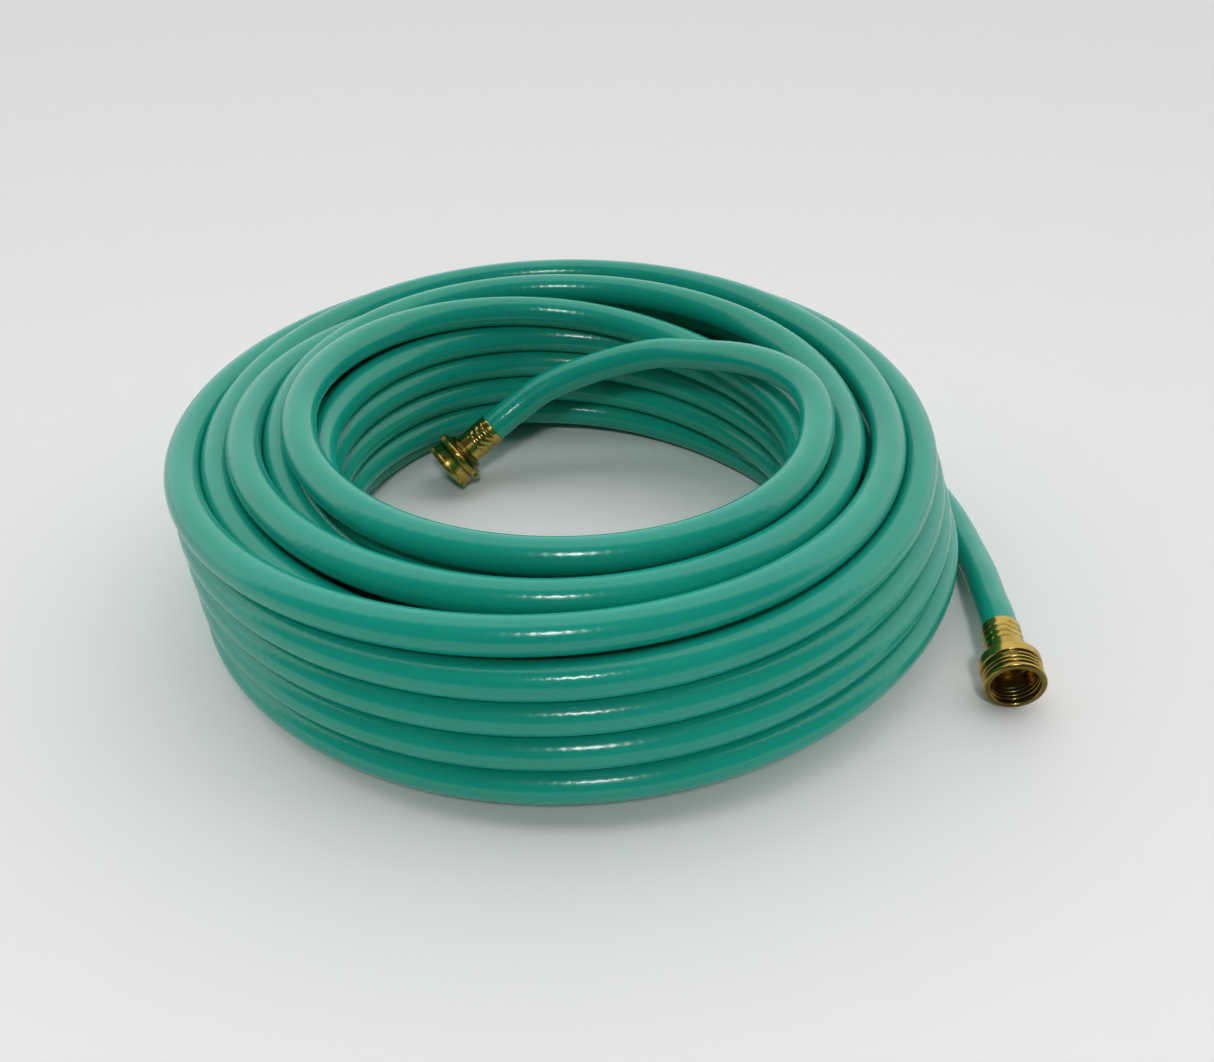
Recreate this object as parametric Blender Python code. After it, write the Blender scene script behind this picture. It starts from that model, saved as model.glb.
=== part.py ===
"""Coiled reinforced garden hose with a brass coupling on each end.

The coil lies flat on the floor with its axis upright. The outer free end lies
along the floor on the right, the inner one arches over the hole. Routes are
counted from the coil's axis, and the whole part is centred on the origin last.
"""
import math

import bmesh
import bpy
from mathutils import Matrix, Vector

# Hose
HOSE_DIAMETER = 0.0165
TOUCH_GAP = 0.0003

# Coil, in hose diameters: centre lines of the turns that show. The top slopes down outwards.
INNER_TURN_RADIUS = 7.3
INNER_TOP_HEIGHT = 5.2
INNER_TURNS_HIGH = 6
OUTER_TURN_RADIUS = 11.0
OUTER_TOP_HEIGHT = 4.55
OUTER_TURNS_HIGH = 5
TURNS_ACROSS = 5
RING_SEGMENTS = 48

# Ferrule, the same on both ends (metres)
FERRULE_LENGTH = 0.0188
FERRULE_WALL = 0.0003
FERRULE_RIDGE = 0.0004
FERRULE_RIDGES = 3
FERRULE_FIRST_RIDGE = 0.0047
FERRULE_RIDGE_PITCH = 0.0034
# Free space between the hose's end and the fitting behind it
HOSE_END_SPACE = 0.0015
HOSE_INSIDE_FERRULE = FERRULE_LENGTH - HOSE_END_SPACE

# Female coupling
SWIVEL_RING_RADIUS = 0.0108
SWIVEL_COLLAR_RADIUS = 0.0112
TAIL_BORE_RADIUS = 0.0048
TAIL_NECK_RADIUS = 0.0096
TAIL_FLANGE_RADIUS = 0.0123
NUT_LENGTH = 0.0138
NUT_BACK_RADIUS = 0.0118
NUT_BODY_RADIUS = 0.0140
NUT_FLANGE_RADIUS = 0.0154
NUT_RIM_RADIUS = 0.0143
NUT_BORE_RADIUS = 0.0131
NUT_BACK_THICKNESS = 0.0016
NUT_CONE_LENGTH = 0.0020
NUT_FLANGE_THICKNESS = 0.0052
NECK_CLEARANCE = 0.0005
KNURL_COUNT = 32
KNURL_DEPTH = 0.0005
WASHER_RADIUS = 0.0126
WASHER_BORE_RADIUS = 0.0066
WASHER_THICKNESS = 0.0026

# Male coupling
MALE_LENGTH = 0.0182
MALE_SHOULDER_RADIUS = 0.0138
MALE_THREAD_RADIUS = 0.0135
MALE_ROOT_RADIUS = 0.0126
MALE_LIP_RADIUS = 0.0138
MALE_BORE_RADIUS = 0.0109
MALE_BACK_THICKNESS = 0.0016
MALE_TAIL_BORE_RADIUS = 0.0048
THREAD_PITCH = 0.0022
THREAD_TURNS = 3

ROUND_SEGMENTS = 28

# Route of the inner free end, in hose diameters, from the coupling to the coil
INNER_ROUTE = (
    (-2.730, 4.192, 1.97), (-1.764, 4.713, 2.74), (-1.234, 4.916, 3.07), (-0.670, 5.099, 3.36),
    (0.567, 5.050, 3.84), (1.827, 4.950, 4.26), (3.072, 4.610, 4.62), (4.139, 3.897, 4.92),
    (5.080, 3.080, 5.12), (5.780, 2.150, 5.22), (6.168, 1.160, 5.23), (6.272, 0.150, 5.23), (6.222, -0.850, 5.23),
)
INNER_COUPLING_AIM = (-0.7581, -0.3619, -0.5425)

# Route of the outer free end, in hose diameters, from the coupling to the coil
OUTER_ROUTE = (
    (12.359, -5.319, 0.98), (12.483, -3.942, 0.93), (12.604, -2.965, 0.83), (12.662, -1.919, 0.71),
    (12.650, -0.876, 0.60), (12.605, 0.079, 0.54), (12.440, 1.000, 0.515), (12.190, 2.250, 0.515),
    (11.640, 3.640, 0.515), (10.820, 5.250, 0.515),
    (9.760, 7.030, 0.515),
)
OUTER_COUPLING_AIM = (-0.0740, -0.9959, -0.0519)

ROUTE_STEPS = 2
# Straight hose behind each ferrule, in hose diameters
STRAIGHT_LEAD = 0.45

# Colours seen in the photograph
COLOURS = {
    "green hose": ((0.045, 0.36, 0.24), 0.28, 0.0),
    "brass": ((0.58, 0.42, 0.12), 0.26, 1.0),
    "black rubber": ((0.03, 0.03, 0.03), 0.6, 0.0),
}


def clear_scene():
    for item in list(bpy.data.objects):
        bpy.data.objects.remove(item, do_unlink=True)


def material(name):
    found = bpy.data.materials.get(name)
    if found:
        return found
    colour, roughness, metallic = COLOURS[name]
    made = bpy.data.materials.new(name)
    made.use_nodes = True
    shader = made.node_tree.nodes["Principled BSDF"]
    shader.inputs["Base Color"].default_value = (*colour, 1.0)
    shader.inputs["Roughness"].default_value = roughness
    shader.inputs["Metallic"].default_value = metallic
    made.diffuse_color = (*colour, 1.0)
    return made


def axis_matrix(start, aim):
    """Turns a lathe axis along +Z into one along aim."""
    spin = Vector(aim).normalized().to_track_quat("Z", "X").to_matrix()
    return Vector(start), spin


def lathe(name, profile, segments, start, aim, slot, ripple=None):
    """Closed ring from a closed (distance, radius) outline turned about the aim line."""
    origin, spin = axis_matrix(start, aim)
    bm = bmesh.new()
    rings = []
    for step in range(segments):
        turn = 2.0 * math.pi * step / segments
        ring = []
        for number, (along, radius) in enumerate(profile):
            reach = radius
            if ripple and number in ripple[0] and step % 2:
                reach = radius - ripple[1]
            point = Vector((reach * math.cos(turn), reach * math.sin(turn), along))
            ring.append(bm.verts.new(spin @ point))
        rings.append(ring)
    count = len(profile)
    for step in range(segments):
        here, there = rings[step], rings[(step + 1) % segments]
        for number in range(count):
            after = (number + 1) % count
            bm.faces.new((here[number], there[number], there[after], here[after]))
    bmesh.ops.recalc_face_normals(bm, faces=bm.faces)
    mesh = bpy.data.meshes.new(name)
    bm.to_mesh(mesh)
    bm.free()
    thing = bpy.data.objects.new(name, mesh)
    bpy.context.collection.objects.link(thing)
    thing.location = origin
    mesh.materials.append(material(slot))
    mesh.shade_smooth()
    mesh.set_sharp_from_angle(angle=math.radians(40.0))
    return thing


def lobe(centre_radius, centre_height, first, last, count):
    """Points round one turn of hose, as (height, radius), between two angles in degrees."""
    half = 0.5 * HOSE_DIAMETER
    points = []
    for number in range(count):
        angle = math.radians(first + (last - first) * number / (count - 1))
        points.append((
            centre_height * HOSE_DIAMETER + half * math.sin(angle),
            centre_radius * HOSE_DIAMETER + half * math.cos(angle),
        ))
    return points


def coil_outline():
    """Outline of the wound turns: round the foot, up the outside, across the top, down the bore."""
    inner_step = (INNER_TOP_HEIGHT - 0.5) / (INNER_TURNS_HIGH - 1)
    outer_step = (OUTER_TOP_HEIGHT - 0.5) / (OUTER_TURNS_HIGH - 1)
    outline = lobe(OUTER_TURN_RADIUS, 0.5, -90.0, 60.0, 5)
    for level in range(1, OUTER_TURNS_HIGH - 1):
        outline += lobe(OUTER_TURN_RADIUS, 0.5 + outer_step * level, -60.0, 60.0, 4)
    outline += lobe(OUTER_TURN_RADIUS, OUTER_TOP_HEIGHT, -60.0, 140.0, 7)
    for column in range(TURNS_ACROSS - 2, 0, -1):
        share = column / (TURNS_ACROSS - 1)
        radius = INNER_TURN_RADIUS + (OUTER_TURN_RADIUS - INNER_TURN_RADIUS) * share
        height = INNER_TOP_HEIGHT + (OUTER_TOP_HEIGHT - INNER_TOP_HEIGHT) * share
        outline += lobe(radius, height, 25.0, 140.0, 4)
    outline += lobe(INNER_TURN_RADIUS, INNER_TOP_HEIGHT, 25.0, 240.0, 7)
    for level in range(INNER_TURNS_HIGH - 2, 0, -1):
        outline += lobe(INNER_TURN_RADIUS, 0.5 + inner_step * level, 120.0, 240.0, 4)
    outline += lobe(INNER_TURN_RADIUS, 0.5, 120.0, 270.0, 5)
    return outline


def smooth_route(route, steps):
    """Curve through the route's points, in metres."""
    points = [Vector(p) * HOSE_DIAMETER for p in route]
    ends = [points[0] * 2.0 - points[1]] + points + [points[-1] * 2.0 - points[-2]]
    path = []
    for number in range(1, len(ends) - 2):
        a, b, c, d = ends[number - 1:number + 3]
        for step in range(steps):
            t = step / steps
            path.append(0.5 * (
                2.0 * b + (c - a) * t + (2.0 * a - 5.0 * b + 4.0 * c - d) * t * t
                + (3.0 * b - a - 3.0 * c + d) * t * t * t
            ))
    path.append(points[-1])
    return path


def tube(name, path):
    curve = bpy.data.curves.new(name, "CURVE")
    curve.dimensions = "3D"
    curve.bevel_depth = 0.5 * HOSE_DIAMETER
    curve.bevel_resolution = 4
    curve.use_fill_caps = True
    spline = curve.splines.new("POLY")
    spline.points.add(len(path) - 1)
    for number, point in enumerate(path):
        spline.points[number].co = (*point, 1.0)
    thing = bpy.data.objects.new(name, curve)
    bpy.context.collection.objects.link(thing)
    curve.materials.append(material("green hose"))
    return thing


def free_end(name, route, aim):
    """Tube from inside its ferrule to the coil; returns where the ferrule starts."""
    direction = Vector(aim).normalized()
    mouth = Vector(route[0]) * HOSE_DIAMETER
    inside = mouth + direction * HOSE_INSIDE_FERRULE
    lead = Vector(route[0]) - direction * STRAIGHT_LEAD
    path = smooth_route((tuple(lead),) + route[1:], ROUTE_STEPS)
    tube(name, [inside] + path)
    return mouth, direction


def ferrule(name, start, aim):
    inner = 0.5 * HOSE_DIAMETER + TOUCH_GAP
    outer = inner + FERRULE_WALL
    outline = [(0.0, inner), (FERRULE_LENGTH, inner), (FERRULE_LENGTH, outer)]
    pitch = FERRULE_RIDGE_PITCH
    for number in range(FERRULE_RIDGES - 1, -1, -1):
        middle = FERRULE_FIRST_RIDGE + pitch * number
        outline += [
            (middle + 0.32 * pitch, outer), (middle, outer + FERRULE_RIDGE), (middle - 0.32 * pitch, outer),
        ]
    outline.append((0.0, outer))
    return lathe(name, outline, ROUND_SEGMENTS, start, aim, "brass")


def female_coupling(start, aim):
    ferrule("female_ferrule", start, aim)
    ring = FERRULE_LENGTH + TOUCH_GAP
    collar = ring + 0.0009
    nut = ring + 0.0020
    inside = nut + NUT_BACK_THICKNESS
    flange = inside + TOUCH_GAP
    tail_end = flange + 0.0011
    tail = [
        (ring, TAIL_BORE_RADIUS), (tail_end, TAIL_BORE_RADIUS), (tail_end, TAIL_FLANGE_RADIUS),
        (flange, TAIL_FLANGE_RADIUS), (flange, TAIL_NECK_RADIUS), (nut - TOUCH_GAP, TAIL_NECK_RADIUS),
        (nut - TOUCH_GAP, SWIVEL_COLLAR_RADIUS), (collar + 0.0004, SWIVEL_COLLAR_RADIUS),
        (collar, SWIVEL_RING_RADIUS - 0.0004), (collar - 0.0004, SWIVEL_RING_RADIUS),
        (ring, SWIVEL_RING_RADIUS),
    ]
    lathe("female_tailpiece", tail, ROUND_SEGMENTS, start, aim, "brass")
    mouth = nut + NUT_LENGTH
    flange_end = nut + NUT_FLANGE_THICKNESS
    hole = TAIL_NECK_RADIUS + NECK_CLEARANCE
    # the numbers of the outline points that the knurl cuts into
    body = [
        (nut, hole), (inside, hole), (inside, NUT_BORE_RADIUS), (mouth, NUT_BORE_RADIUS),
        (mouth, NUT_RIM_RADIUS - 0.0003), (mouth - 0.0004, NUT_RIM_RADIUS),
        (mouth - 0.0024, NUT_RIM_RADIUS), (mouth - 0.0028, NUT_BODY_RADIUS),
        (flange_end, NUT_BODY_RADIUS), (flange_end, NUT_FLANGE_RADIUS - 0.0006),
        (flange_end - 0.0006, NUT_FLANGE_RADIUS), (nut + NUT_CONE_LENGTH + 0.0006, NUT_FLANGE_RADIUS),
        (nut + NUT_CONE_LENGTH, NUT_FLANGE_RADIUS - 0.0006), (nut, NUT_BACK_RADIUS),
    ]
    origin, spin = axis_matrix(start, aim)
    along = Vector(aim).normalized()
    pivot = Vector(start) + along * nut
    shifted = [(x - nut, r) for x, r in body]
    lathe("swivel_nut", shifted, 2 * KNURL_COUNT, pivot, aim, "brass", ripple=((10, 11), KNURL_DEPTH))
    washer = tail_end + TOUCH_GAP
    ring_outline = [
        (washer - nut, WASHER_BORE_RADIUS), (washer - nut + WASHER_THICKNESS, WASHER_BORE_RADIUS),
        (washer - nut + WASHER_THICKNESS, WASHER_RADIUS), (washer - nut, WASHER_RADIUS),
    ]
    lathe("hose_washer", ring_outline, ROUND_SEGMENTS, pivot, aim, "black rubber")
    return pivot, along


def male_coupling(start, aim):
    ferrule("male_ferrule", start, aim)
    back = FERRULE_LENGTH + TOUCH_GAP
    mouth = back + MALE_LENGTH
    inside = back + MALE_BACK_THICKNESS
    outline = [
        (back, MALE_TAIL_BORE_RADIUS), (inside, MALE_TAIL_BORE_RADIUS), (inside, MALE_BORE_RADIUS),
        (mouth - 0.0004, MALE_BORE_RADIUS), (mouth, MALE_BORE_RADIUS + 0.0006),
        (mouth, MALE_LIP_RADIUS - 0.0011), (mouth - 0.0010, MALE_LIP_RADIUS),
        (mouth - 0.0018, MALE_LIP_RADIUS), (mouth - 0.0026, MALE_ROOT_RADIUS),
    ]
    for number in range(THREAD_TURNS):
        crest = mouth - 0.0040 - number * THREAD_PITCH
        outline += [
            (crest + 0.4 * THREAD_PITCH, MALE_ROOT_RADIUS), (crest, MALE_THREAD_RADIUS),
            (crest - 0.4 * THREAD_PITCH, MALE_ROOT_RADIUS),
        ]
    outline += [
        (back + 0.0076, MALE_ROOT_RADIUS), (back + 0.0071, MALE_SHOULDER_RADIUS),
        (back + 0.0027, MALE_SHOULDER_RADIUS), (back + 0.0014, 0.0120), (back, 0.0096),
    ]
    return lathe("male_fitting", outline, ROUND_SEGMENTS, start, aim, "brass")


def stand_centred():
    """Moves everything so that the part stands on the floor round the origin."""
    bpy.context.view_layer.update()
    shown = bpy.context.evaluated_depsgraph_get()
    low = Vector((1e9, 1e9, 1e9))
    high = -low
    for thing in bpy.data.objects:
        shape = thing.evaluated_get(shown)
        for corner in shape.to_mesh().vertices:
            place = thing.matrix_world @ corner.co
            for side in range(3):
                low[side] = min(low[side], place[side])
                high[side] = max(high[side], place[side])
        shape.to_mesh_clear()
    shift = Vector((0.5 * (low.x + high.x), 0.5 * (low.y + high.y), low.z))
    for thing in bpy.data.objects:
        thing.location = thing.location - shift


clear_scene()
lathe("hose_coil", coil_outline(), RING_SEGMENTS, (0.0, 0.0, 0.0), (0.0, 0.0, 1.0), "green hose")
inner_start, inner_aim = free_end("inner_free_end", INNER_ROUTE, INNER_COUPLING_AIM)
female_coupling(inner_start, inner_aim)
outer_start, outer_aim = free_end("outer_free_end", OUTER_ROUTE, OUTER_COUPLING_AIM)
male_coupling(outer_start, outer_aim)
stand_centred()
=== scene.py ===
import math

import bmesh
import bpy
import numpy as np
from mathutils import Matrix, Vector


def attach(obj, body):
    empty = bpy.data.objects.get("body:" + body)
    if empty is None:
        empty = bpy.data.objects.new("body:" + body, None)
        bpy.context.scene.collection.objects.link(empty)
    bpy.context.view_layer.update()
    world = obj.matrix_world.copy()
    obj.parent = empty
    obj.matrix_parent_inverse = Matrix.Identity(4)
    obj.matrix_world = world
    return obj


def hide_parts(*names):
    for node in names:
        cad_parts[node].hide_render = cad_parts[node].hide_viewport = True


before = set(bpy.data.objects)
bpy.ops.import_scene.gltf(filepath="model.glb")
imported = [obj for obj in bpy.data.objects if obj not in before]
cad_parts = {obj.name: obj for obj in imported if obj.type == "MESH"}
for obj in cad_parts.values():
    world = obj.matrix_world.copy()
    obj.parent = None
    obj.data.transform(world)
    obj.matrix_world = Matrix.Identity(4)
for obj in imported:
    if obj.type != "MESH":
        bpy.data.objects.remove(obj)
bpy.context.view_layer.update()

# Coiled green garden hose with a brass coupling on each end.
# The winding is given as seen from above, in hose diameters from the coil's axis.

coil = {
    "diameter": 0.0165,          # outside diameter of the hose, metres
    "length": 15.24,             # its real length, metres
    "axisX": -0.013742,          # where the coil's axis stands
    "axisY": 0.0,
    "roundSteps": 26,            # corners of the tube's section
    "ringSpacing": 0.252,        # diameters from ring to ring
}


# Camera and view
view = {"focalPixels": 1156.6, "imageWidth": 1214.0, "elevation": 35.687, "distance": 37.359,
        "aimX": 1.212, "aimZ": 0.589}


def placeCamera():
    d = coil["diameter"]
    tilt = math.radians(view["elevation"])
    aim = Vector((coil["axisX"] + view["aimX"] * d, coil["axisY"], view["aimZ"] * d))
    away = Vector((0.0, -math.cos(tilt), math.sin(tilt))) * view["distance"] * d
    data = bpy.data.cameras.new("photoCamera")
    data.sensor_fit = "HORIZONTAL"
    data.sensor_width = 36.0
    data.lens = 36.0 * view["focalPixels"] / view["imageWidth"]
    data.clip_start = 0.02
    data.clip_end = 60.0
    camera = bpy.data.objects.new("photoCamera", data)
    bpy.context.collection.objects.link(camera)
    camera.location = aim + away
    camera.rotation_euler = (math.radians(90.0) - tilt, 0.0, 0.0)
    bpy.context.scene.camera = camera


placeCamera()
print("camera placed")


# Shared shader effects
def newGroup(name, inputs, outputs):
    tree = bpy.data.node_groups.new(name, "ShaderNodeTree")
    for label, kind, value in inputs:
        socket = tree.interface.new_socket(label, in_out="INPUT", socket_type=kind)
        if value is not None:
            socket.default_value = value
    for label, kind in outputs:
        tree.interface.new_socket(label, in_out="OUTPUT", socket_type=kind)
    return tree, tree.nodes.new("NodeGroupInput"), tree.nodes.new("NodeGroupOutput")


def mathNode(tree, operation, a, b=None, c=None, clamp=False):
    node = tree.nodes.new("ShaderNodeMath")
    node.operation = operation
    node.use_clamp = clamp
    for number, value in enumerate((a, b, c)):
        if value is None:
            continue
        if isinstance(value, (int, float)):
            node.inputs[number].default_value = value
        else:
            tree.links.new(value, node.inputs[number])
    return node.outputs[0]


def rampNode(tree, value, stops):
    node = tree.nodes.new("ShaderNodeValToRGB")
    elements = node.color_ramp.elements
    elements[0].position, elements[0].color = stops[0][0], (*[stops[0][1]] * 3, 1.0)
    elements[1].position, elements[1].color = stops[-1][0], (*[stops[-1][1]] * 3, 1.0)
    for place, level in stops[1:-1]:
        elements.new(place).color = (level, level, level, 1.0)
    tree.links.new(value, node.inputs[0])
    return node.outputs[0]


def noiseNode(tree, vector, scale, detail=2.0, roughness=0.5):
    node = tree.nodes.new("ShaderNodeTexNoise")
    if vector is not None:
        tree.links.new(vector, node.inputs["Vector"])
    if isinstance(scale, (int, float)):
        node.inputs["Scale"].default_value = scale
    else:
        tree.links.new(scale, node.inputs["Scale"])
    node.inputs["Detail"].default_value = detail
    node.inputs["Roughness"].default_value = roughness
    return node.outputs["Fac"]


# Diamond relief of the yarn braid under a thin vinyl skin.
# u runs along the hose in diameters, v once round it.
def braidGroup():
    tree, source, sink = newGroup(
        "braidRelief",
        [("Strands", "NodeSocketFloat", 12.0), ("Pitch", "NodeSocketFloat", 3.8),
         ("Waver", "NodeSocketFloat", 0.15)],
        [("Height", "NodeSocketFloat")],
    )
    place = tree.nodes.new("ShaderNodeUVMap")
    place.uv_map = "hoseRun"
    split = tree.nodes.new("ShaderNodeSeparateXYZ")
    tree.links.new(place.outputs[0], split.inputs[0])
    along, around = split.outputs["X"], split.outputs["Y"]
    coords = tree.nodes.new("ShaderNodeTexCoord").outputs["Object"]
    drift = noiseNode(tree, coords, 90.0, 1.0)
    drift = mathNode(tree, "MULTIPLY", mathNode(tree, "SUBTRACT", drift, 0.5), source.outputs["Waver"])
    turns = mathNode(tree, "MULTIPLY", around, source.outputs["Strands"])
    steps = mathNode(tree, "ADD", mathNode(tree, "MULTIPLY", along, source.outputs["Pitch"]), drift)
    yarns = []
    for operation in ("ADD", "SUBTRACT"):
        phase = mathNode(tree, operation, steps, turns)
        wave = mathNode(tree, "SINE", mathNode(tree, "MULTIPLY", phase, 2.0 * math.pi))
        yarns.append(mathNode(tree, "MULTIPLY_ADD", wave, 0.5, 0.5))
    height = mathNode(tree, "MAXIMUM", yarns[0], yarns[1])
    tree.links.new(height, sink.inputs["Height"])
    return tree


# Broad, soft mottle for colour and gloss, with rare small specks of dust
def handledGroup():
    tree, source, sink = newGroup(
        "handledSurface",
        [("Mottle Scale", "NodeSocketFloat", 14.0), ("Speck Scale", "NodeSocketFloat", 260.0),
         ("Speck Share", "NodeSocketFloat", 0.015)],
        [("Mottle", "NodeSocketFloat"), ("Specks", "NodeSocketFloat")],
    )
    coords = tree.nodes.new("ShaderNodeTexCoord").outputs["Object"]
    tree.links.new(noiseNode(tree, coords, source.outputs["Mottle Scale"], 3.0), sink.inputs["Mottle"])
    cells = tree.nodes.new("ShaderNodeTexVoronoi")
    tree.links.new(coords, cells.inputs["Vector"])
    tree.links.new(source.outputs["Speck Scale"], cells.inputs["Scale"])
    chosen = tree.nodes.new("ShaderNodeSeparateColor")
    tree.links.new(cells.outputs["Color"], chosen.inputs[0])
    picked = mathNode(tree, "LESS_THAN", chosen.outputs[0], source.outputs["Speck Share"])
    near = mathNode(tree, "LESS_THAN", cells.outputs["Distance"], 0.09)
    tree.links.new(mathNode(tree, "MULTIPLY", picked, near), sink.inputs["Specks"])
    return tree


braidRelief = braidGroup()
handledSurface = handledGroup()


def newMaterial(name):
    made = bpy.data.materials.new(name)
    made.use_nodes = True
    tree = made.node_tree
    return made, tree, tree.nodes["Principled BSDF"]


def placeGroup(tree, group, **values):
    node = tree.nodes.new("ShaderNodeGroup")
    node.node_tree = group
    for label, value in values.items():
        node.inputs[label.replace("_", " ")].default_value = value
    return node


def mixColour(tree, factor, first, second):
    node = tree.nodes.new("ShaderNodeMix")
    node.data_type = "RGBA"
    tree.links.new(factor, node.inputs["Factor"])
    for socket, value in (("A", first), ("B", second)):
        found = [s for s in node.inputs if s.name == socket and s.type == "RGBA"][0]
        if isinstance(value, tuple):
            found.default_value = (*value, 1.0)
        else:
            tree.links.new(value, found)
    return [s for s in node.outputs if s.type == "RGBA"][0]


greenVinyl = {
    "deep": (0.0045, 0.33, 0.235),
    "light": (0.0075, 0.37, 0.265),
    "dust": (0.012, 0.07, 0.052),
    "gloss": ((0.25, 0.17), (0.75, 0.22)),
    "refraction": 1.46,
    "relief": 0.35,
    "reliefDepth": 0.00010,   # metres
}


def makeVinyl():
    made, tree, shader = newMaterial("glossyGreenVinyl")
    handled = placeGroup(tree, handledSurface, Mottle_Scale=16.0)
    braid = placeGroup(tree, braidRelief, Strands=10.0, Pitch=3.0, Waver=0.15)
    tone = rampNode(tree, handled.outputs["Mottle"], ((0.3, 0.0), (0.7, 1.0)))
    colour = mixColour(tree, tone, greenVinyl["deep"], greenVinyl["light"])
    colour = mixColour(tree, handled.outputs["Specks"], colour, greenVinyl["dust"])
    tree.links.new(colour, shader.inputs["Base Color"])
    gloss = rampNode(tree, handled.outputs["Mottle"], greenVinyl["gloss"])
    tree.links.new(gloss, shader.inputs["Roughness"])
    shader.inputs["IOR"].default_value = greenVinyl["refraction"]
    bump = tree.nodes.new("ShaderNodeBump")
    bump.inputs["Strength"].default_value = greenVinyl["relief"]
    bump.inputs["Distance"].default_value = greenVinyl["reliefDepth"]
    tree.links.new(braid.outputs["Height"], bump.inputs["Height"])
    tree.links.new(bump.outputs["Normal"], shader.inputs["Normal"])
    return made


# Hose
# Where the winding has got to, in hose diameters: (turns wound, distance from the axis, height).
# It goes down the inner wall, out along the floor, up between, across the top and down the outside.
topInnerTurn = [
    (0.0, 7.25, 5.65), (0.13, 7.85, 5.4), (0.25, 7.65, 5.3), (0.38, 7.85, 5.4), (0.5, 7.85, 5.65),
    (0.62, 7.65, 5.4), (0.75, 7.1, 4.85), (0.87, 6.65, 4.25),
]
floorTurns = [
    (5.0, 8.3, 0.5), (5.6, 7.7, 0.5), (5.87, 9.7, 0.5),
    (6.05, 11.1, 0.5), (6.35, 9.9, 0.5), (6.5, 9.55, 0.6),
]
climbingTurns = [(6.9, 9.5, 1.6), (7.6, 8.3, 2.75), (8.0, 8.3, 3.5), (8.35, 8.4, 4.1)]
topTurns = [
    (8.5, 8.6, 5.0), (8.65, 8.8, 5.3), (8.85, 8.45, 5.1), (9.0, 8.25, 4.85), (9.25, 8.9, 5.0),
    (9.4, 9.35, 5.1), (9.6, 9.65, 4.75), (9.75, 9.5, 4.3), (10.0, 9.4, 3.85), (10.25, 9.6, 3.9),
    (10.5, 10.35, 4.6), (10.65, 10.65, 4.85), (10.8, 10.3, 5.15), (11.0, 9.4, 4.9), (11.13, 9.6, 4.9),
    (11.25, 10.1, 5.0), (11.4, 11.0, 4.7), (11.5, 11.2, 4.3), (11.65, 11.4, 4.25), (11.9, 10.8, 4.65),
]
runningOut = [(15.87, 12.0, 0.5), (16.0, 12.6, 0.53)]
innerWall = {
    "firstTurn": 1, "turns": 4, "radius": 7.4, "height": 5.4,
    "startInset": 0.2, "widening": 0.2,         # each turn starts further out than the one above
    "settle": 0.05, "stepDown": 1.1,            # it drops to the next level in its last quarter
}
outerWall = {
    "firstTurn": 12, "turns": 4, "radius": 11.2, "height": 4.55, "levelGap": 0.95,
    "startInset": 0.75, "startWidening": 0.4,   # where each turn starts, at the right
    "frontInset": 0.85, "frontWidening": 0.3,   # a little further on, at the front
    "leftNarrowing": 0.15, "backBulge": 0.1, "firstDrop": 0.4, "stepDown": 1.2,
}
settling = {
    "placesPerTurn": 8, "turns": 16, "rounds": 300,
    "push": 0.5,                                # share of an overlap that each turn gives way in a round
    "smoothing": 0.01, "hold": 0.04, "lowest": 0.5,
}
splineStep = 15.0                               # degrees between the points of the wound route

# Free ends, as (x, y, height) from the coil's axis
innerEnd = {
    "points": [
        (-1.7, 4.7, 2.65), (-1.15, 4.9, 3.0), (-0.55, 5.05, 3.28), (0.6, 5.1, 3.75), (1.85, 5.0, 4.2),
        (3.1, 4.65, 4.6), (4.2, 3.95, 4.9), (5.2, 3.2, 5.2), (6.15, 2.25, 5.45),
    ],
    "mouth": (-2.730, 4.192, 1.97),
    "aim": (-0.7581, -0.3619, -0.5425),
}
outerEnd = {
    "points": [(12.6, -0.9, 0.6), (12.6, -1.9, 0.7), (12.53, -2.95, 0.85), (12.45, -3.95, 0.92)],
    "mouth": (12.359, -5.319, 0.98),
    "aim": (-0.0740, -0.9959, -0.0519),
}
straightLead = 0.45      # straight hose behind each ferrule, in diameters
hoseInFerrule = 0.0173   # metres of hose inside each ferrule


# Smooth curve through points: natural cubic in t
def splineThrough(t, points, wanted):
    t, points, wanted = (np.asarray(x, float) for x in (t, points, wanted))
    count, gap = len(t), np.diff(np.asarray(t, float))
    matrix, right = np.eye(count), np.zeros_like(points)
    for k in range(1, count - 1):
        matrix[k, k - 1:k + 2] = gap[k - 1], 2.0 * (gap[k - 1] + gap[k]), gap[k]
        right[k] = 6.0 * ((points[k + 1] - points[k]) / gap[k] - (points[k] - points[k - 1]) / gap[k - 1])
    bend = np.linalg.solve(matrix, right)
    k = np.clip(np.searchsorted(t, wanted, side="right") - 1, 0, count - 2)
    h, a, b = gap[k][:, None], (wanted - t[k])[:, None], (t[k + 1] - wanted)[:, None]
    return (
        (bend[k] * b ** 3 + bend[k + 1] * a ** 3) / (6.0 * h)
        + (points[k] / h - bend[k] * h / 6.0) * b + (points[k + 1] / h - bend[k + 1] * h / 6.0) * a
    )


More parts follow.
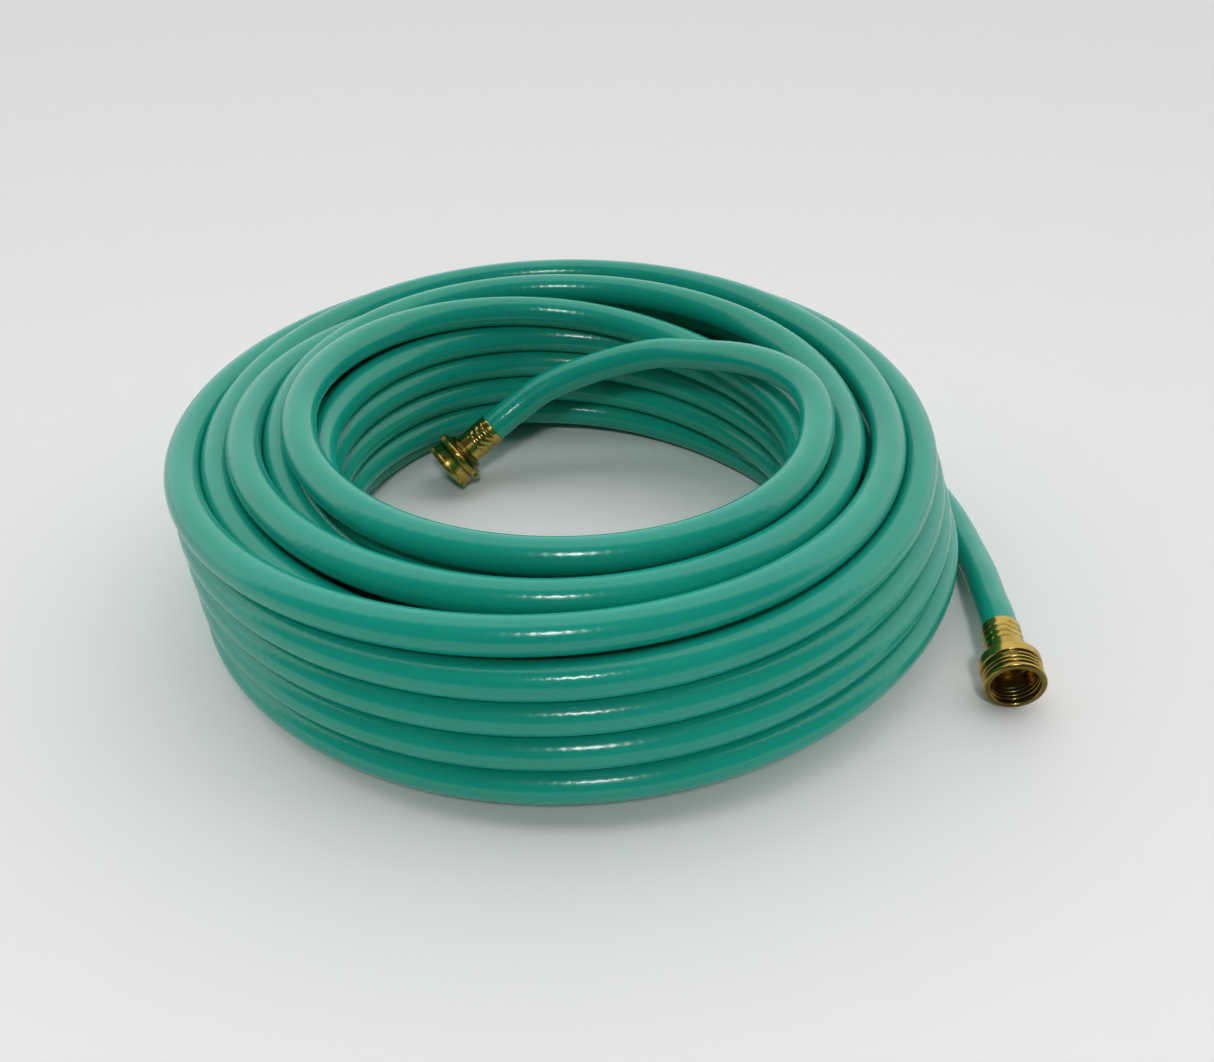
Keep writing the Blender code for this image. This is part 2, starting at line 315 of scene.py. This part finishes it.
def windingStages():
    stages = list(topInnerTurn)
    wall = innerWall
    for level in range(wall["turns"]):
        turn = wall["firstTurn"] + level
        radius, height = wall["radius"], wall["height"] - turn
        stages += [
            (turn, radius - wall["startInset"] + wall["widening"] * level, height - wall["startInset"]),
            (turn + 0.5, radius, height),
            (turn + 0.63, radius - wall["settle"], height - wall["settle"]),
            (turn + 0.87, radius - 2.0 * wall["settle"], height - wall["stepDown"]),
        ]
    stages += floorTurns + climbingTurns + topTurns
    wall = outerWall
    for level in range(wall["turns"]):
        turn = wall["firstTurn"] + level
        radius, height = wall["radius"], wall["height"] - wall["levelGap"] * level
        start = radius - wall["startInset"] + wall["startWidening"] * level
        front = radius - wall["frontInset"] + wall["frontWidening"] * level
        stages += [
            (turn, start, height),
            (turn + 0.15, front, height - wall["firstDrop"]),
            (turn + 0.5, radius - wall["leftNarrowing"] * level, height - wall["stepDown"]),
            (turn + 0.75, radius + wall["backBulge"], height - wall["stepDown"]),
        ]
    return np.array(stages + runningOut)


# The turns push each other apart to a hose's width, as wound ones do, and rest on the floor
def settledWinding():
    each = settling["placesPerTurn"]
    stages = windingStages()
    turnsWound = np.arange(settling["turns"] * each + 1) / each
    place = np.stack([np.interp(turnsWound, stages[:, 0], stages[:, k]) for k in (1, 2)], axis=1)
    laid = place.copy()
    for _ in range(settling["rounds"]):
        push = np.zeros_like(place)
        for first in range(each):
            rows = np.arange(first, len(place), each)
            away = place[rows][:, None] - place[rows][None]
            distance = np.linalg.norm(away, axis=2) + 9.0 * np.eye(len(rows))  # keeps a turn off itself
            short = np.maximum(0.0, 1.0 - distance) / distance
            push[rows] = settling["push"] * (away * short[:, :, None]).sum(axis=1)
        place += push
        place[1:-1] += settling["smoothing"] * (place[2:] + place[:-2] - 2.0 * place[1:-1])
        place += settling["hold"] * (laid - place)
        place[:, 1] = np.maximum(place[:, 1], settling["lowest"])
    return place


# How far along a route each of its points lies, and the even distances that its rings will have
def evenRun(route):
    run = np.concatenate([[0.0], np.cumsum(np.linalg.norm(np.diff(route, axis=0), axis=1))])
    steps = int(round(run[-1] / coil["ringSpacing"]))
    return run, np.linspace(0.0, run[-1], steps + 1)


def hoseRoute():
    d = coil["diameter"]
    keys = settledWinding()
    angles = np.arange(len(keys)) * 360.0 / settling["placesPerTurn"]
    fine = np.arange(0.0, angles[-1] + 0.1, splineStep)
    section = splineThrough(angles, keys, fine)
    turn = -np.radians(fine)
    wound = np.stack([section[:, 0] * np.cos(turn), section[:, 0] * np.sin(turn), section[:, 1]], axis=1)
    ends = []
    for end in (innerEnd, outerEnd):
        mouth, aim = np.array(end["mouth"]), np.array(end["aim"])
        aim = aim / np.linalg.norm(aim)
        inside = mouth + aim * hoseInFerrule / d
        ends.append([inside, 0.5 * (inside + mouth), mouth, mouth - aim * straightLead])
    route = np.array(ends[0] + innerEnd["points"] + list(wound) + outerEnd["points"] + ends[1][::-1])
    run, even = evenRun(route)
    route = splineThrough(run, route, even)
    run, even = evenRun(route)  # the second pass evens the spacing
    route = np.stack([np.interp(even, run, route[:, k]) for k in range(3)], axis=1)
    return route * d + np.array([coil["axisX"], coil["axisY"], 0.0])


def tubeMesh(name, path, radius, sides, material):
    count = len(path)
    tangent = np.gradient(path, axis=0)
    tangent /= np.linalg.norm(tangent, axis=1)[:, None]
    side = np.cross(tangent[0], (0.0, 0.0, 1.0))
    side /= np.linalg.norm(side)
    frameSides = np.empty((count, 3))
    for k in range(count):
        side = side - tangent[k] * side.dot(tangent[k])
        side /= np.linalg.norm(side)
        frameSides[k] = side
    frameUps = np.cross(tangent, frameSides)
    angle = 2.0 * math.pi * np.arange(sides) / sides
    rings = path[:, None] + radius * (
        np.cos(angle)[None, :, None] * frameSides[:, None] + np.sin(angle)[None, :, None] * frameUps[:, None])
    places = np.concatenate([rings.reshape(-1, 3), path[:1], path[-1:]])
    k, s = np.meshgrid(np.arange(count - 1), np.arange(sides), indexing="ij")
    k, s = k.ravel(), s.ravel()
    after = (s + 1) % sides
    quads = np.stack([k * sides + s, k * sides + after, (k + 1) * sides + after, (k + 1) * sides + s], axis=1)
    s = np.arange(sides)
    after = (s + 1) % sides
    first = np.stack([np.full(sides, count * sides), after, s], axis=1)
    foot = (count - 1) * sides
    last = np.stack([np.full(sides, count * sides + 1), foot + s, foot + after], axis=1)
    mesh = bpy.data.meshes.new(name)
    mesh.from_pydata(places.tolist(), [], quads.tolist() + first.tolist() + last.tolist())
    run = np.concatenate([[0.0], np.cumsum(np.linalg.norm(np.diff(path, axis=0), axis=1))]) / (2.0 * radius)
    layer = mesh.uv_layers.new(name="hoseRun")
    along = np.stack([run[k], run[k], run[k + 1], run[k + 1]], axis=1)
    s = quads[:, 0] % sides
    around = np.stack([s, s + 1, s + 1, s], axis=1) / sides
    flat = np.stack([along.ravel(), around.ravel()], axis=1)
    caps = np.zeros((2 * 3 * sides, 2))
    caps[3 * sides:, 0] = run[-1]
    layer.data.foreach_set("uv", np.concatenate([flat, caps]).ravel())
    mesh.materials.append(material)
    mesh.shade_smooth()
    thing = bpy.data.objects.new(name, mesh)
    bpy.context.collection.objects.link(thing)
    return thing


vinyl = makeVinyl()
route = hoseRoute()
realLength = float(np.linalg.norm(np.diff(route, axis=0), axis=1).sum())
hose = tubeMesh("garden_hose", route, 0.5 * coil["diameter"], coil["roundSteps"], vinyl)
print("hose wound:", len(route), "rings,", round(realLength, 3), "m")


# Brass and rubber
brassTones = {
    "bright": (0.50, 0.36, 0.085),
    "worn": (0.40, 0.285, 0.062),
    # near-black tone for painted shade in grooves, recesses and the bore
    "recessShade": (0.075, 0.058, 0.014),
    "gloss": ((0.3, 0.17), (0.7, 0.27)),
    "lathePitch": 260.0,
    "latheDepth": 0.00004,
}
rubberTones = {"dark": (0.012, 0.012, 0.012), "grey": (0.035, 0.034, 0.032), "dust": (0.09, 0.085, 0.08)}
creaseAngle = math.radians(50.0)


def makeBrass():
    made, tree, shader = newMaterial("turnedBrass")
    handled = placeGroup(tree, handledSurface, Mottle_Scale=120.0, Speck_Scale=900.0, Speck_Share=0.02)
    # the recess attribute mixes in the near-black tone: painted shade in grooves, recesses and the bore
    recess = tree.nodes.new("ShaderNodeAttribute")
    recess.attribute_name = "recess"
    tone = rampNode(tree, handled.outputs["Mottle"], ((0.35, 0.0), (0.65, 1.0)))
    colour = mixColour(tree, tone, brassTones["bright"], brassTones["worn"])
    colour = mixColour(tree, recess.outputs["Fac"], colour, brassTones["recessShade"])
    tree.links.new(colour, shader.inputs["Base Color"])
    shader.inputs["Metallic"].default_value = 1.0
    gloss = rampNode(tree, handled.outputs["Mottle"], brassTones["gloss"])
    tree.links.new(gloss, shader.inputs["Roughness"])
    place = tree.nodes.new("ShaderNodeUVMap")
    place.uv_map = "turned"
    stretch = tree.nodes.new("ShaderNodeMapping")
    stretch.inputs["Scale"].default_value = (2.0, brassTones["lathePitch"], 1.0)
    tree.links.new(place.outputs[0], stretch.inputs["Vector"])
    lines = noiseNode(tree, stretch.outputs[0], 6.0, 3.0, 0.6)
    bump = tree.nodes.new("ShaderNodeBump")
    bump.inputs["Strength"].default_value = 0.25
    bump.inputs["Distance"].default_value = brassTones["latheDepth"]
    tree.links.new(lines, bump.inputs["Height"])
    tree.links.new(bump.outputs["Normal"], shader.inputs["Normal"])
    return made


def makeRubber():
    made, tree, shader = newMaterial("blackRubber")
    handled = placeGroup(tree, handledSurface, Mottle_Scale=180.0, Speck_Scale=1400.0, Speck_Share=0.05)
    colour = mixColour(tree, handled.outputs["Mottle"], rubberTones["dark"], rubberTones["grey"])
    colour = mixColour(tree, handled.outputs["Specks"], colour, rubberTones["dust"])
    tree.links.new(colour, shader.inputs["Base Color"])
    shader.inputs["Roughness"].default_value = 0.62
    return made


brass = makeBrass()
rubber = makeRubber()


# Rounds the corners of a closed (along, radius) outline; each corner gives its own rounding
def roundedOutline(corners, steps=3):
    outline = []
    count = len(corners)
    for k in range(count):
        here = np.array(corners[k][:2])
        size = corners[k][2] if len(corners[k]) > 2 else 0.0002
        before, after = np.array(corners[k - 1][:2]), np.array(corners[(k + 1) % count][:2])
        back, on = before - here, after - here
        reach = min(size, 0.45 * np.linalg.norm(back), 0.45 * np.linalg.norm(on))
        if reach < 1e-6:
            outline.append(tuple(here))
            continue
        start = here + back / np.linalg.norm(back) * reach
        finish = here + on / np.linalg.norm(on) * reach
        for step in range(steps + 1):
            t = step / steps
            outline.append(tuple((1 - t) ** 2 * start + 2 * t * (1 - t) * here + t * t * finish))
    return outline


recessReach = 0.0016     # how far along the axis a recess looks for the surface that it lies under


# Turns a closed outline about a coupling's axis. shape(turn, along, radius) may vary the radius round it.
def turnedPiece(name, outline, steps, place, material, shape=None, recessDepth=0.0009, inside=None):
    origin, aim = Vector(place[0]), Vector(place[1]).normalized()
    spin = np.array(aim.to_track_quat("Z", "X").to_matrix())
    points = np.array(outline)
    count = len(points)
    turn = 2.0 * math.pi * np.arange(steps) / steps
    along = np.repeat(points[None, :, 0], steps, axis=0)
    radius = np.repeat(points[None, :, 1], steps, axis=0)
    angle = np.repeat(turn[:, None], count, axis=1)
    if shape is not None:
        radius = shape(angle, along, radius)
    local = np.stack([radius * np.cos(angle), radius * np.sin(angle), along], axis=2)
    places = local.reshape(-1, 3) @ spin.T + np.array(origin)
    k, s = np.meshgrid(np.arange(steps), np.arange(count), indexing="ij")
    k, s = k.ravel(), s.ravel()
    kk, ss = (k + 1) % steps, (s + 1) % count
    quads = np.stack([k * count + s, k * count + ss, kk * count + ss, kk * count + s], axis=1)
    mesh = bpy.data.meshes.new(name)
    mesh.from_pydata(places.tolist(), [], quads.tolist())
    layer = mesh.uv_layers.new(name="turned")
    u = np.stack([k, k, k + 1, k + 1], axis=1) / steps
    v = along[0][np.stack([s, ss, ss, s], axis=1)] * 10.0
    layer.data.foreach_set("uv", np.stack([u.ravel(), v.ravel()], axis=1).ravel())
    # how deep each point lies under the outer surface near it; this depth darkens the brass as painted shade
    near = np.abs(points[:, 0][:, None] - points[:, 0][None]) < recessReach
    top = np.where(near[None], radius[:, None, :], 0.0).max(axis=2)
    depth = np.clip((top - radius) / recessDepth, 0.0, 1.0)
    # points inside the bore get at least this much painted shade
    if inside is not None:
        depth = np.where(radius < inside, np.maximum(depth * 0.5, 0.45), depth)
    attribute = mesh.attributes.new("recess", "FLOAT", "POINT")
    attribute.data.foreach_set("value", (0.8 * depth ** 1.5).ravel())
    mesh.materials.append(material)
    made = bmesh.new()
    made.from_mesh(mesh)
    bmesh.ops.recalc_face_normals(made, faces=made.faces)
    made.to_mesh(mesh)
    made.free()
    mesh.shade_smooth()
    mesh.set_sharp_from_angle(angle=creaseAngle)
    thing = bpy.data.objects.new(name, mesh)
    bpy.context.collection.objects.link(thing)
    return thing


d = coil["diameter"]


def couplingPlace(end):
    mouth = Vector(end["mouth"]) * d + Vector((coil["axisX"], coil["axisY"], 0.0))
    return mouth, Vector(end["aim"]).normalized()


# Parts that repeat round a coupling: knurl teeth and threads, made with Geometry Nodes
def nodeGroup(name, inputs):
    tree = bpy.data.node_groups.new(name, "GeometryNodeTree")
    for label, kind, value in inputs:
        socket = tree.interface.new_socket(label, in_out="INPUT", socket_type=kind)
        if value is not None:
            socket.default_value = value
    tree.interface.new_socket("Geometry", in_out="OUTPUT", socket_type="NodeSocketGeometry")
    return tree, tree.nodes.new("NodeGroupInput"), tree.nodes.new("NodeGroupOutput")


def finishGroup(tree, source, sink, geometry):
    real = tree.nodes.new("GeometryNodeRealizeInstances")
    paint = tree.nodes.new("GeometryNodeSetMaterial")
    tree.links.new(geometry, real.inputs[0])
    tree.links.new(real.outputs[0], paint.inputs["Geometry"])
    tree.links.new(source.outputs["Material"], paint.inputs["Material"])
    tree.links.new(paint.outputs[0], sink.inputs[0])
    return tree


def toothRingGroup():
    tree, source, sink = nodeGroup("toothRing", [
        ("Count", "NodeSocketInt", 120), ("Radius", "NodeSocketFloat", 0.015),
        ("Tooth Size", "NodeSocketVector", None), ("Unevenness", "NodeSocketFloat", 0.1),
        ("Seed", "NodeSocketInt", 7), ("Material", "NodeSocketMaterial", None)])
    ring = tree.nodes.new("GeometryNodeMeshCircle")
    tree.links.new(source.outputs["Count"], ring.inputs["Vertices"])
    tree.links.new(source.outputs["Radius"], ring.inputs["Radius"])
    tooth = tree.nodes.new("GeometryNodeMeshCylinder")
    tooth.inputs["Vertices"].default_value = 4
    tooth.inputs["Radius"].default_value = 0.5
    tooth.inputs["Depth"].default_value = 1.0
    sized = tree.nodes.new("GeometryNodeTransform")
    tree.links.new(tooth.outputs["Mesh"], sized.inputs["Geometry"])
    tree.links.new(source.outputs["Tooth Size"], sized.inputs["Scale"])
    index = tree.nodes.new("GeometryNodeInputIndex")
    share = mathNode(tree, "DIVIDE", index.outputs[0], source.outputs["Count"])
    angle = tree.nodes.new("ShaderNodeCombineXYZ")
    tree.links.new(mathNode(tree, "MULTIPLY", share, 2.0 * math.pi), angle.inputs["Z"])
    uneven = tree.nodes.new("FunctionNodeRandomValue")
    low = mathNode(tree, "SUBTRACT", 1.0, source.outputs["Unevenness"])
    tree.links.new(low, uneven.inputs[2])
    uneven.inputs[3].default_value = 1.0
    tree.links.new(source.outputs["Seed"], uneven.inputs["Seed"])
    placed = tree.nodes.new("GeometryNodeInstanceOnPoints")
    tree.links.new(ring.outputs["Mesh"], placed.inputs["Points"])
    tree.links.new(sized.outputs["Geometry"], placed.inputs["Instance"])
    tree.links.new(angle.outputs[0], placed.inputs["Rotation"])
    tree.links.new(uneven.outputs[1], placed.inputs["Scale"])
    return finishGroup(tree, source, sink, placed.outputs[0])


def threadGroup():
    tree, source, sink = nodeGroup("spiralThread", [
        ("Turns", "NodeSocketFloat", 3.0), ("Radius", "NodeSocketFloat", 0.013),
        ("Height", "NodeSocketFloat", 0.006), ("Crest", "NodeSocketFloat", 0.0005),
        ("Steps", "NodeSocketInt", 72), ("Material", "NodeSocketMaterial", None)])
    spiral = tree.nodes.new("GeometryNodeCurveSpiral")
    tree.links.new(source.outputs["Steps"], spiral.inputs["Resolution"])
    tree.links.new(source.outputs["Turns"], spiral.inputs["Rotations"])
    tree.links.new(source.outputs["Radius"], spiral.inputs["Start Radius"])
    tree.links.new(source.outputs["Radius"], spiral.inputs["End Radius"])
    tree.links.new(source.outputs["Height"], spiral.inputs["Height"])
    crest = tree.nodes.new("GeometryNodeCurvePrimitiveCircle")
    crest.inputs["Resolution"].default_value = 10
    tree.links.new(source.outputs["Crest"], crest.inputs["Radius"])
    swept = tree.nodes.new("GeometryNodeCurveToMesh")
    tree.links.new(spiral.outputs["Curve"], swept.inputs["Curve"])
    tree.links.new(crest.outputs["Curve"], swept.inputs["Profile Curve"])
    swept.inputs["Fill Caps"].default_value = True
    return finishGroup(tree, source, sink, swept.outputs[0])


toothRing = toothRingGroup()
spiralThread = threadGroup()


# Grows a node group's mesh and adds it to a piece, its foot at the given distance along the coupling's axis
def addGrown(piece, tree, values, along, place):
    seed = bpy.data.objects.new(tree.name, bpy.data.meshes.new(tree.name))
    bpy.context.collection.objects.link(seed)
    modifier = seed.modifiers.new(tree.name, "NODES")
    modifier.node_group = tree
    for item in tree.interface.items_tree:
        if item.in_out == "INPUT" and item.name in values:
            modifier[item.identifier] = values[item.name]
    bpy.context.view_layer.update()
    grown = bpy.data.meshes.new_from_object(seed.evaluated_get(bpy.context.evaluated_depsgraph_get()))
    bpy.data.objects.remove(seed, do_unlink=True)
    origin, aim = Vector(place[0]), Vector(place[1]).normalized()
    spin = aim.to_track_quat("Z", "X").to_matrix().to_4x4()
    grown.transform(Matrix.Translation(origin + aim * along) @ spin)
    joined = bmesh.new()
    joined.from_mesh(piece.data)
    joined.from_mesh(grown)
    bmesh.ops.recalc_face_normals(joined, faces=joined.faces)
    joined.to_mesh(piece.data)
    joined.free()
    piece.data.shade_smooth()
    piece.data.set_sharp_from_angle(angle=creaseAngle)
    return grown


def addTeeth(piece, place, along, radius, length, count, depth, width):
    addGrown(piece, toothRing, {
        "Count": count, "Radius": radius, "Tooth Size": (2.0 * depth, width, length),
        "Unevenness": 0.12, "Seed": 11, "Material": brass}, along, place)


threadPitch = 0.002209   # 11.5 turns to the inch


def addThread(piece, place, start, finish, radius, crest):
    turns = (finish - start) / threadPitch
    addGrown(piece, spiralThread, {
        "Turns": turns, "Radius": radius, "Height": finish - start, "Crest": crest,
        "Steps": 72, "Material": brass}, start, place)


ferrule = {
    "length": 0.0188,
    "inner": 0.5 * d + 0.0001,
    "wall": 0.0002,
    "ridges": 3,
    "ridgeHeight": 0.0005,
    "jaws": 6,             # sectors pressed by the crimping jaws
    "firstBand": 0.0026,   # plain band at the hose's side
    "lastBand": 0.0052,    # plain band at the fitting's side
    "bandHeight": 0.72,    # height of the plain bands, as a share of the ridges
    "fade": 0.0006,        # metres over which the ridges run into a band
    "lipRound": 0.0004,
    "seamStart": 0.34, "seamWidth": 0.16,   # shares of a jaw's sector
    "jawFlat": 0.010,
    "steps": 132,
}


def smoothStep(value):
    value = np.clip(value, 0.0, 1.0)
    return value * value * (3.0 - 2.0 * value)


# Rows of rolled ridges; from jaw to jaw they step by half a ridge, which gives the zig-zag
def crimpedFerrule(name, place, jawTurn):
    f = ferrule
    inner = f["inner"]
    outer = inner + f["wall"]
    fine = np.linspace(f["length"] - 0.0003, 0.0003, 71)
    outline = [(0.0, inner), (f["length"], inner), (f["length"], outer)]
    outline += [(float(a), outer) for a in fine] + [(0.0, outer)]
    first, last = f["firstBand"], f["length"] - f["lastBand"]
    pitch = (last - first) / f["ridges"]

    def shape(angle, along, radius):
        sector = (angle / (2.0 * math.pi) * f["jaws"] + jawTurn) % 1.0
        index = np.floor(angle / (2.0 * math.pi) * f["jaws"] + jawTurn).astype(int) % 2
        # 1 at the seam between two jaws
        edge = smoothStep((np.abs(sector - 0.5) - f["seamStart"]) / f["seamWidth"])
        swing = np.where(index == 0, 0.25, -0.25) * (1.0 - edge)
        phase = (along - first) / pitch + swing
        wave = (0.5 + 0.5 * np.cos(2.0 * math.pi * (phase + 0.5))) ** 0.8
        blend = smoothStep((along - first) / f["fade"]) * smoothStep((last - along) / f["fade"])
        height = f["ridgeHeight"] * (blend * wave + (1.0 - blend) * f["bandHeight"])
        toEnd = np.minimum(along, f["length"] - along)
        rounded = 1.0 - 0.5 * smoothStep((f["lipRound"] - toEnd) / f["lipRound"])
        outside = radius > inner + 0.4 * f["wall"]
        flat = 1.0 - f["jawFlat"] * (1.0 - edge)
        return np.where(outside, (radius + height * rounded) * flat, radius)

    return turnedPiece(name, outline, f["steps"], place, brass, shape, recessDepth=0.0007)


femalePlace = couplingPlace(innerEnd)
malePlace = couplingPlace(outerEnd)

femaleFerrule = crimpedFerrule("female_crimp_ferrule", femalePlace, 0.30)
maleFerrule = crimpedFerrule("male_crimp_ferrule", malePlace, 0.10)

# Outlines as (metres from the hose's end of the ferrule, radius, rounding of the corner)
tailOutline = roundedOutline([
    (0.0191, 0.0048), (0.0241, 0.0048), (0.0241, 0.0123), (0.0230, 0.0123), (0.0230, 0.0096),
    (0.0209, 0.0096),
    (0.0209, 0.0110, 0.0003), (0.0205, 0.0113, 0.0003), (0.0202, 0.0110, 0.0002), (0.0200, 0.0098, 0.0001),
    (0.0198, 0.0107, 0.0002), (0.0196, 0.0110, 0.0002), (0.0193, 0.0109, 0.0002), (0.0191, 0.0096),
])
tailpiece = turnedPiece(
    "female_tailpiece_rings", tailOutline, 96, femalePlace, brass, recessDepth=0.0012, inside=0.006)

nutOutline = roundedOutline([
    (0.0211, 0.0101), (0.0227, 0.0101), (0.0227, 0.0133), (0.0349, 0.0133, 0.0004),
    (0.0349, 0.0139, 0.0003), (0.0346, 0.0142, 0.0003), (0.0325, 0.0142, 0.0003), (0.0321, 0.0138, 0.0004),
    (0.0298, 0.0137, 0.0010), (0.0270, 0.0138, 0.0006), (0.0265, 0.0144, 0.0004),
    (0.0263, 0.0152, 0.0005), (0.0234, 0.0152, 0.0010), (0.0224, 0.0138, 0.0008),
    (0.0213, 0.0120, 0.0006), (0.0211, 0.0112),
])
nut = turnedPiece("swivel_nut_body", nutOutline, 132, femalePlace, brass, inside=0.0134)
flangeKnurl = {
    "along": 0.02475, "radius": 0.01518, "length": 0.0025, "count": 124, "depth": 0.00032, "width": 0.00042}
rimKnurl = {
    "along": 0.03355, "radius": 0.01418, "length": 0.0020, "count": 124, "depth": 0.00028, "width": 0.00038}
nutThread = {"start": 0.0282, "finish": 0.0345, "radius": 0.01325, "crest": 0.00042}
addTeeth(nut, femalePlace, **flangeKnurl)
addTeeth(nut, femalePlace, **rimKnurl)
addThread(nut, femalePlace, **nutThread)

washerOutline = roundedOutline([
    (0.0244, 0.0066, 0.0004), (0.0270, 0.0066, 0.0004), (0.0270, 0.0126, 0.0005), (0.0244, 0.0126, 0.0005),
])
washer = turnedPiece("rubber_hose_washer", washerOutline, 80, femalePlace, rubber)

maleOutline = roundedOutline([
    (0.0191, 0.0048), (0.0207, 0.0048), (0.0207, 0.0106), (0.0262, 0.0109, 0.0010), (0.0350, 0.0112, 0.0010),
    (0.0366, 0.0108, 0.0006), (0.0373, 0.0113, 0.0006), (0.0373, 0.0125, 0.0010), (0.0366, 0.0138, 0.0012),
    (0.0352, 0.0138, 0.0008), (0.0345, 0.0128, 0.0006),
    (0.0271, 0.0127, 0.0005), (0.0265, 0.0138, 0.0004), (0.0220, 0.0139, 0.0014),
    (0.0206, 0.0120, 0.0012), (0.0191, 0.0096),
], steps=5)
maleFitting = turnedPiece("male_threaded_fitting", maleOutline, 132, malePlace, brass, inside=0.0113)
outerThread = {"start": 0.0284, "finish": 0.0342, "radius": 0.01285, "crest": 0.00062}
boreRibs = {"start": 0.0262, "finish": 0.0350, "radius": 0.01125, "crest": 0.00040}
addThread(maleFitting, malePlace, **outerThread)
addThread(maleFitting, malePlace, **boreRibs)
print("couplings turned")

for piece, node, body in (
    (femaleFerrule, "female_ferrule", "hose"), (maleFerrule, "male_ferrule", "hose"),
    (tailpiece, "female_tailpiece", "hose"), (nut, "swivel_nut", "swivel"),
    (washer, "hose_washer", "swivel"), (maleFitting, "male_fitting", "hose"),
):
    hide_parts(node)
    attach(piece, body)

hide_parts("hose_coil", "inner_free_end", "outer_free_end")
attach(hose, "hose")


# Floor and lights
studio = {
    "floorSize": 9.0, "floorColour": (0.90, 0.90, 0.895),
    "lampPower": 9.5, "lampSize": 0.23, "lampPlace": (0.06, -1.40, 1.50),
    "skyFront": 0.07, "skyOverhead": 1.55, "skyBack": 1.15,
}


def areaLight(name, power, size, place, aim):
    data = bpy.data.lights.new(name, "AREA")
    data.shape = "RECTANGLE"
    data.size, data.size_y = size
    data.energy = power
    light = bpy.data.objects.new(name, data)
    bpy.context.collection.objects.link(light)
    light.location = place
    light.rotation_euler = (Vector(aim) - Vector(place)).to_track_quat("-Z", "Y").to_euler()
    return light


def setStudio():
    s = studio
    mesh = bpy.data.meshes.new("paleFloor")
    h = 0.5 * s["floorSize"]
    mesh.from_pydata([(-h, -h, 0.0), (h, -h, 0.0), (h, h, 0.0), (-h, h, 0.0)], [], [(0, 1, 2, 3)])
    floor = bpy.data.objects.new("paleFloor", mesh)
    bpy.context.collection.objects.link(floor)
    made, tree, shader = newMaterial("paleFloorPaper")
    coords = tree.nodes.new("ShaderNodeTexCoord").outputs["Object"]
    grain = noiseNode(tree, coords, 40.0, 4.0)
    colour = mixColour(tree, grain, s["floorColour"], tuple(0.985 * c for c in s["floorColour"]))
    tree.links.new(colour, shader.inputs["Base Color"])
    shader.inputs["Roughness"].default_value = 0.9
    shader.inputs["Specular IOR Level"].default_value = 0.2
    mesh.materials.append(made)
    areaLight("frontLamp", s["lampPower"], (s["lampSize"], s["lampSize"]), s["lampPlace"], (0.0, 0.0, 0.03))
    world = bpy.data.worlds.new("studioWorld")
    world.use_nodes = True
    sky = world.node_tree
    split = sky.nodes.new("ShaderNodeSeparateXYZ")
    sky.links.new(sky.nodes.new("ShaderNodeTexCoord").outputs["Generated"], split.inputs[0])
    # dark towards the camera, bright from straight overhead to the back wall
    level = rampNode(sky, mathNode(sky, "MULTIPLY_ADD", split.outputs["Y"], 0.5, 0.5), (
        (0.43, s["skyFront"]), (0.49, s["skyOverhead"]), (0.70, s["skyBack"])))
    sky.links.new(level, sky.nodes["Background"].inputs["Color"])
    bpy.context.scene.world = world
    bpy.context.scene.view_settings.view_transform = "Standard"


setStudio()
print("studio set")
